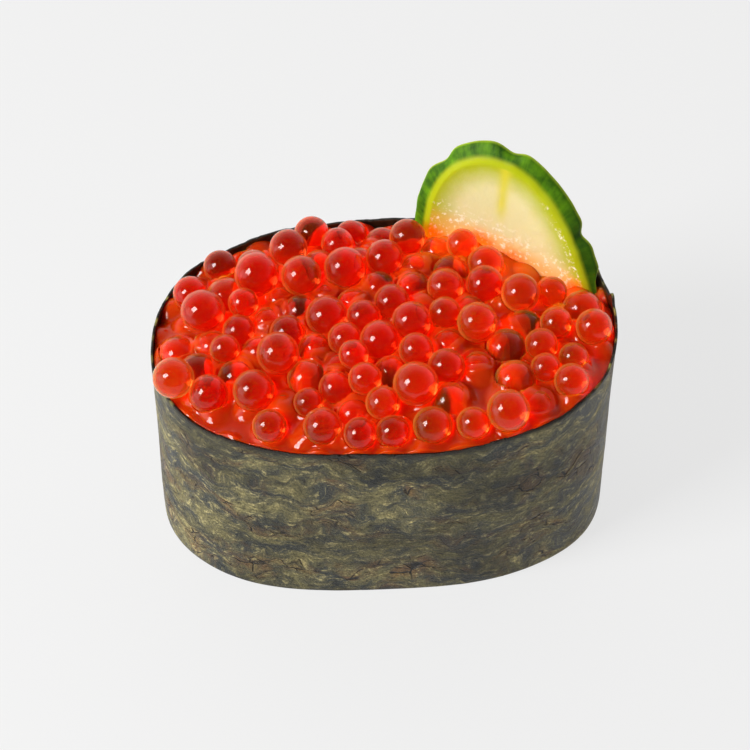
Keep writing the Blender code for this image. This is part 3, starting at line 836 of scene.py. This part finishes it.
def bed_height(x, y, eggs, radii):
    """Height of the wet bed, raised in a fillet round each egg.

    The fillet falls off as exp(-d / length) with the distance d from where the egg stands out
    of the level, and under the egg the bed follows its lower half.
    """
    level, dome = sunken_height(x, y, bed_level(x, y))
    height = level.copy()
    ceiling = np.full_like(level, np.inf)
    for (egg_x, egg_y, egg_z), radius in zip(eggs, radii):
        near = np.hypot(x - egg_x, y - egg_y)
        over = egg_z - level
        ring = np.sqrt(np.maximum(radius ** 2 - over ** 2, 0.0))
        rise = MENISCUS_RISE * np.exp(-np.maximum(near - ring, 0.0) / MENISCUS_LENGTH)
        height = np.maximum(height, np.where(np.abs(over) < radius, level + rise, level))
        under = egg_z - np.sqrt(np.maximum(radius ** 2 - near ** 2, 0.0)) + SOCKET_OVERLAP
        within = (near < radius) & (over > -SOCKET_REACH * radius)
        ceiling = np.where(within, np.minimum(ceiling, under), ceiling)
    return np.minimum(height, ceiling), dome


def near_slice(points):
    """1 for what lies close before the slice, falling to 0 further in front and beside it."""
    u, _, w = slice_place(points)
    return smooth_step(*AMBER_NEAR, -w) * smooth_step(*AMBER_BESIDE, np.abs(u))


def build_eggs(middle, radius):
    """The upper eggs as one piece, each a little squashed in its own way and with its own tint,
    partly painted light from what is seen through it.
    """
    rng = np.random.default_rng(EGG_LOOK_SEED)
    sizes = radius[:, None] * rng.uniform(1 - EGG_SQUASH, 1.0, (len(radius), 3))
    eggs = many_balls("roe_eggs", middle, sizes, egg_look(), EGG_SEGMENTS, EGG_RINGS)
    amber_and_glow = smooth_step(*AMBER_X, middle[:, 0] - AMBER_TURN * middle[:, 1])
    amber_and_glow = amber_and_glow + rng.uniform(-AMBER_JUMBLE, AMBER_JUMBLE, len(radius))
    amber_and_glow = np.clip(np.maximum(amber_and_glow, near_slice(middle)), 0, 1)
    amber_and_glow[:AMBER_MARKS] = 1.0
    points_each = len(eggs.data.vertices) // len(radius)
    paint(eggs, "amber_and_glow", np.repeat(amber_and_glow, points_each))


def bed_faces(rows, columns):
    """Quads of the surface and of the wall down from its edge, and a fan over the underside."""
    edge = grid_edge(rows, columns)
    foot = rows * columns + np.arange(len(edge))
    sole_middle = np.full(len(edge), rows * columns + len(edge))
    after_edge, after_foot = np.roll(edge, -1), np.roll(foot, -1)
    wall = np.stack([edge, foot, after_foot, after_edge], axis=-1)
    sole = np.stack([after_foot, foot, sole_middle], axis=-1)
    return sheet_quads(rows, columns).tolist() + wall.tolist() + sole.tolist()


def build_bed(middle, radius):
    """The brine as a closed body: its wet surface, its wall in the band, its underside."""
    columns, rows = BED_CELLS
    x, y = oval_grid(columns, rows, 1.0, BED_INSET)
    height, dome = bed_height(x, y, middle, radius)
    upper = np.stack([x.ravel(), y.ravel(), height.ravel()], axis=-1)
    edge = grid_edge(rows, columns)
    sole_x, sole_y = oval_grid(columns, rows, BED_SOLE_FRACTION, WALL_INSET)
    foot_x, foot_y = np.append(sole_x.ravel()[edge], 0.0), np.append(sole_y.ravel()[edge], 0.0)
    foot = np.stack([foot_x, foot_y, np.full(len(foot_x), RICE_TOP + GAP)], axis=-1)
    bed = make_piece("roe_bed", np.concatenate([upper, foot]), bed_faces(rows, columns),
                     bed_look(), "roe")
    below = np.zeros(len(foot))
    paint(bed, "egg_part", np.append(smooth_step(*EGG_PART_DOME, dome), below))
    # Painted light: amber in the brine before the slice, which is seen through it.
    paint(bed, "amber_and_glow", np.append(near_slice(upper), below))


def build_roe():
    """The eggs on top, and the wet bed that they lie in."""
    middle, radius = settle_roe()
    build_eggs(middle, radius)
    build_bed(middle, radius)


# Cucumber

def cucumber_look():
    """Fresh cucumber: pale wet flesh, a yellow-green rim, and a thin waxy dark green skin.

    The eye sees the flesh fade from yellow-green at the skin to cream, with one yellow strand
    down from the top and white specks low down, where brine has also stained it amber. The
    specks are painted highlights: glints of the wet flesh.
    The skin is streaked from its inner edge to its outer one.
    """
    look, tree = new_material("fresh_cucumber_slice")
    place = add(tree, "TexCoord").outputs["Object"]
    across = add(tree, "UVMap", uv_map="skin_streaks").outputs["UV"]
    blotch = noise(tree, place, 1.8, 4.0, 0.6)
    uneven = calculate(tree, "MULTIPLY_ADD", blotch, 1.2, -0.6)
    from_skin = calculate(tree, "ADD", painted(tree, "from_skin"), uneven)
    inward = add(tree, "MapRange", {"Value": from_skin, "From Min": -0.2, "From Max": 4.3},
                 interpolation_type="SMOOTHSTEP").outputs[0]
    flesh = mix(tree, inward, "b4be18", "e7e0a6")
    stranded = mix(tree, painted(tree, "strand"), flesh, "dcd434")
    stained = mix(tree, painted(tree, "soaked"), stranded, "f2b040")
    # Painted highlights: white glints of the wet flesh, low down and beside the skin.
    wet_cells = noise(tree, place, 0.6, 2.0, 0.6)
    painted_glint = calculate(tree, "MULTIPLY", span(tree, wet_cells, 0.54, 0.7),
                      painted(tree, "painted_glints"))
    glinted = mix(tree, painted_glint, stained, "fdf8dc")
    streak = noise(tree, across, 1.1, 4.0, 0.62)
    mottle = calculate(tree, "ADD", streak, blotch)
    green = mix(tree, span(tree, mottle, 0.72, 1.32), "1c4606", "64980a")
    # Painted shade: the skin's right side is darkened.
    shaded = mix(tree, painted(tree, "painted_side_shade"), green, "1f400a")
    fringed = mix(tree, painted(tree, "back_edge"), shaded, "b4c83c")
    skin = painted(tree, "skin")
    end_look(tree, {
        "Base Color": mix(tree, skin, glinted, fringed),
        "Roughness": span(tree, skin, 0.0, 1.0, 0.24, 0.55), "IOR": 1.37,
        "Normal": bump(tree, calculate(tree, "ADD", wet_cells, blotch), 0.4, 0.12),
        "Specular IOR Level": 0.2, "Subsurface Weight": 0.4,
        "Subsurface Radius": (1.0, 0.9, 0.35), "Subsurface Scale": 0.0008})
    return look


def slice_outline(angle, nicks):
    """Rim of the slice about its middle: an oval, with these nicks, clipped by the straight cut.

    The two distances are joined by r = (r_oval^-p + r_cut^-p)^(-1/p), which rounds the corner.
    """
    middle_u, middle_v, half_u, half_v, squareness, turn = SLICE_OVAL
    samples = np.linspace(0, FULL_TURN, OUTLINE_SAMPLES, endpoint=False)
    u, v = superellipse(samples, half_u, half_v, squareness)
    u, v = turned(u, v, turn)
    u, v = u + middle_u, v + middle_v
    around = np.arctan2(v, u) % FULL_TURN
    order = np.argsort(around)
    oval = np.interp(angle % FULL_TURN, around[order], np.hypot(u, v)[order], period=FULL_TURN)
    for place, depth, width in nicks:
        apart = (angle - place + math.pi) % FULL_TURN - math.pi
        oval = oval - depth * np.exp(-(apart / width) ** 2)
    cut_u, cut_v, slope = SLICE_CUT
    steep = slope * np.cos(angle) - np.sin(angle)
    distance = slope * cut_u - cut_v
    cut = np.where(steep > ALMOST_LEVEL, distance / np.maximum(steep, ALMOST_LEVEL), FAR_OFF)
    return (oval ** -SLICE_CORNER + cut ** -SLICE_CORNER) ** (-1 / SLICE_CORNER)


def pressed_into_band(points):
    """The points, moved inside the band's wall where they lie lower than just over its rim."""
    x, y, z = points.T
    low = np.clip((rim_height(x, y) + SLICE_FREE - z) / SLICE_FREE, 0, 1)
    outside = np.maximum(reach(x, y, SOLID_NORI_THICK + SLICE_WALL_GAP), 1.0)
    squeeze = 1 + (outside - 1) * low
    return np.column_stack([x / squeeze, y / squeeze, z])


def slice_profile():
    """From the front's middle, round the skin, to the back's middle: four values for each ring.

    They are the part of the way out, what the edge is pulled in by, the depth behind the front
    face, and whether the ring is on the edge.
    """
    edge = np.array(SLICE_EDGE)
    place = np.linspace(0, len(edge) - 1, EDGE_ROWS)
    step = np.arange(len(edge))
    depth = np.interp(place, step, edge[:, 0]) * SLICE_ROUNDING
    pulled = (np.interp(place, step, edge[:, 1]) * SLICE_INSET
              + np.interp(place, step, edge[:, 2]) * SLICE_ROUNDING)
    out = np.linspace(FACE_HOLE, 1, FACE_ROWS)[:-1]
    none = np.zeros(len(out))
    return (np.concatenate([out, np.ones(EDGE_ROWS), out[::-1]]),
            np.concatenate([none + pulled[0], pulled, none + pulled[-1]]),
            np.concatenate([none, depth, none + SLICE_THICK]),
            np.concatenate([none, np.ones(EDGE_ROWS), none]) > 0)


def slice_faces(rows, columns):
    """Quads between the rings, and a fan to each of the two middle points that come after them."""
    first = np.arange(columns)
    after = np.roll(first, -1)
    last = (rows - 1) * columns
    front_middle = rows * columns
    front = np.stack([np.full(columns, front_middle), first, after], axis=1)
    back = np.stack([np.full(columns, front_middle + 1), last + after, last + first], axis=1)
    rings = sheet_quads(rows, columns, closed=True)[:, ::-1]
    return rings.tolist() + front.tolist() + back.tolist()


def build_cucumber():
    """The slice: its flesh has an even outline, and the skin that flares behind it has nicks."""
    angle = np.linspace(0, FULL_TURN, SLICE_COLUMNS, endpoint=False)
    parts, inset, depth, on_edge = (row[:, None] for row in slice_profile())
    even, nicked = slice_outline(angle, ()), slice_outline(angle, SLICE_NICKS)
    outline = even + (nicked - even) * smooth_step(*NICK_DEPTHS, depth)
    turn = np.broadcast_to(angle, (len(parts), SLICE_COLUMNS))
    bumps = smooth_noise(turn * SKIN_BUMPS_ROUND, depth / SKIN_BUMP_CELL + turn * 0, SKIN_SEED)
    radius = parts * (outline - inset) + SKIN_BUMP * (bumps - 0.5) * on_edge
    from_skin = np.maximum(even - inset[0] - radius, 0.0)
    front = (depth == 0) & ~on_edge
    relief = smooth_noise(radius / FLESH_CELL, turn * FLESH_RAYS, FLESH_SEED)
    behind = depth + FLESH_RELIEF * relief * front * smooth_step(0.0, 1.0, from_skin)
    u, v = radius * np.cos(turn), radius * np.sin(turn)
    middles = slice_point(np.zeros(2), np.zeros(2), np.array([0.0, SLICE_THICK]))
    points = slice_point(u.ravel(), v.ravel(), behind.ravel())
    points = pressed_into_band(np.concatenate([points, middles]))
    made = make_piece("cucumber_slice", points, slice_faces(len(parts), SLICE_COLUMNS),
                      cucumber_look(), "cucumber")
    along_skin = turn * SLICE_SPAN
    flat_map(made, "skin_streaks", np.append(along_skin, [0, 0]),
             np.append((depth + inset) / STREAK_STRETCH + 0 * turn, [0, 0]))
    over_roe = v - ROE_LINE[0] - ROE_LINE[1] * u
    paint_slice(made, "skin", smooth_step(*SKIN_START, depth) * on_edge, (0, 0))
    # Painted shade on the skin's right side.
    paint_slice(made, "painted_side_shade", SHADE_SIDE_PART * smooth_step(*SHADE_SIDE_U, u), (0, 0))
    paint_slice(made, "back_edge", smooth_step(*SKIN_END, depth), (0, 1))
    paint_slice(made, "from_skin", from_skin + 0 * turn, (FAR_OFF, FAR_OFF))
    strand = np.exp(-((u - STRAND_U) / STRAND_WIDTH) ** 2) * smooth_step(*STRAND_V, v) * front
    paint_slice(made, "strand", STRAND_PART * strand, (0, 0))
    paint_slice(made, "soaked", SOAKED_PART * smooth_step(*SOAKED_REACH, over_roe) * front, (1, 1))
    # Painted highlights: where the white glints of the wet flesh lie.
    low = smooth_step(*GLINT_REACH, over_roe)
    beside_skin = smooth_step(*GLINT_BAND, from_skin) * smooth_step(*GLINT_BAND_U, u)
    paint_slice(made, "painted_glints", np.maximum(low, beside_skin) * front, (0, 0))


def paint_slice(made, name, values, at_middles):
    """A number for each point of the slice's rings and then for its two middle points."""
    full = np.broadcast_to(values, (len(slice_profile()[0]), SLICE_COLUMNS))
    paint(made, name, np.append(full, at_middles))


# Studio

def build_floor():
    """A plain pale sheet that lies under the roll and fills the view."""
    look, tree = new_material("pale_backdrop")
    shader = add(tree, "BsdfPrincipled", {
        "Base Color": linear("626262"), "Roughness": 0.7, "Emission Color": linear("fafafa"),
        "Emission Strength": 0.76})
    add(tree, "OutputMaterial", {"Surface": shader.outputs[0]})
    mesh = bpy.data.meshes.new("floor")
    half = FLOOR_SIDE / 2
    mesh.from_pydata([(-half, -half, 0), (half, -half, 0), (half, half, 0), (-half, half, 0)],
                     [], [(0, 1, 2, 3)])
    mesh.materials.append(look)
    made = bpy.data.objects.new("floor", mesh)
    bpy.context.scene.collection.objects.link(made)


def soft_box(name, direction, distance, sides, power):
    """A lamp with a window's shape, that far from the roll in that direction and facing it."""
    lamp = bpy.data.lights.new(name, "AREA")
    lamp.shape = "RECTANGLE"
    lamp.size, lamp.size_y = sides
    lamp.energy = power
    made = bpy.data.objects.new(name, lamp)
    towards = Vector(direction).normalized()
    made.location = VIEW_TARGET * MM + towards * distance
    made.rotation_euler = towards.to_track_quat("Z", "Y").to_euler()
    bpy.context.scene.collection.objects.link(made)


def build_world():
    """White surroundings, bright all round but dimmer the nearer a direction is to the camera's.

    So what faces the camera mirrors little, and the lamps give the wet eggs their glints.
    """
    world = bpy.data.worlds.new("studio")
    world.use_nodes = True
    tree = world.node_tree
    tree.nodes.clear()
    direction = add(tree, "TexCoord").outputs["Generated"]
    towards = (0.0, -math.cos(CAMERA_ELEVATION), math.sin(CAMERA_ELEVATION))
    near = add(tree, "VectorMath", {0: direction, 1: towards}, operation="DOT_PRODUCT")
    bright = add(tree, "MapRange", {
        "Value": near.outputs["Value"], "From Min": DIM_FROM, "From Max": BRIGHT_FROM,
        "To Min": DIM_LIGHT, "To Max": BRIGHT_LIGHT}, interpolation_type="SMOOTHSTEP").outputs[0]
    light = add(tree, "Background", {"Color": linear("fbfaf8"), "Strength": bright})
    add(tree, "OutputWorld", {"Surface": light.outputs[0]})
    bpy.context.scene.world = world


def build_camera():
    """The photograph's view, with its middle shifted so that the target is where it shows it."""
    data = bpy.data.cameras.new("photo_view")
    data.sensor_width = SENSOR_WIDTH
    data.lens = SENSOR_WIDTH * FOCAL_PIXELS / PHOTO_SIDE
    data.shift_x = -(TARGET_PIXEL[0] / PHOTO_SIDE - 0.5)
    data.shift_y = TARGET_PIXEL[1] / PHOTO_SIDE - 0.5
    data.clip_start, data.clip_end = CLIP_RANGE
    made = bpy.data.objects.new("photo_view", data)
    towards = Vector((0.0, -math.cos(CAMERA_ELEVATION), math.sin(CAMERA_ELEVATION)))
    made.location = (VIEW_TARGET + towards * CAMERA_DISTANCE) * MM
    made.rotation_euler = towards.to_track_quat("Z", "Y").to_euler()
    bpy.context.scene.collection.objects.link(made)
    bpy.context.scene.camera = made


def main():
    """Sets up the studio and builds every piece of the roll."""
    scene = bpy.context.scene
    scene.view_settings.view_transform = "Standard"
    for name, count in BOUNCES.items():
        setattr(scene.cycles, name, count)
    build_camera()
    build_world()
    build_floor()
    soft_box("key", KEY_DIRECTION, KEY_DISTANCE, KEY_SIDES, KEY_POWER)
    soft_box("side", SIDE_DIRECTION, SIDE_DISTANCE, SIDE_SIDES, SIDE_POWER)
    build_nori()
    build_rice()
    build_cucumber()
    build_roe()


main()
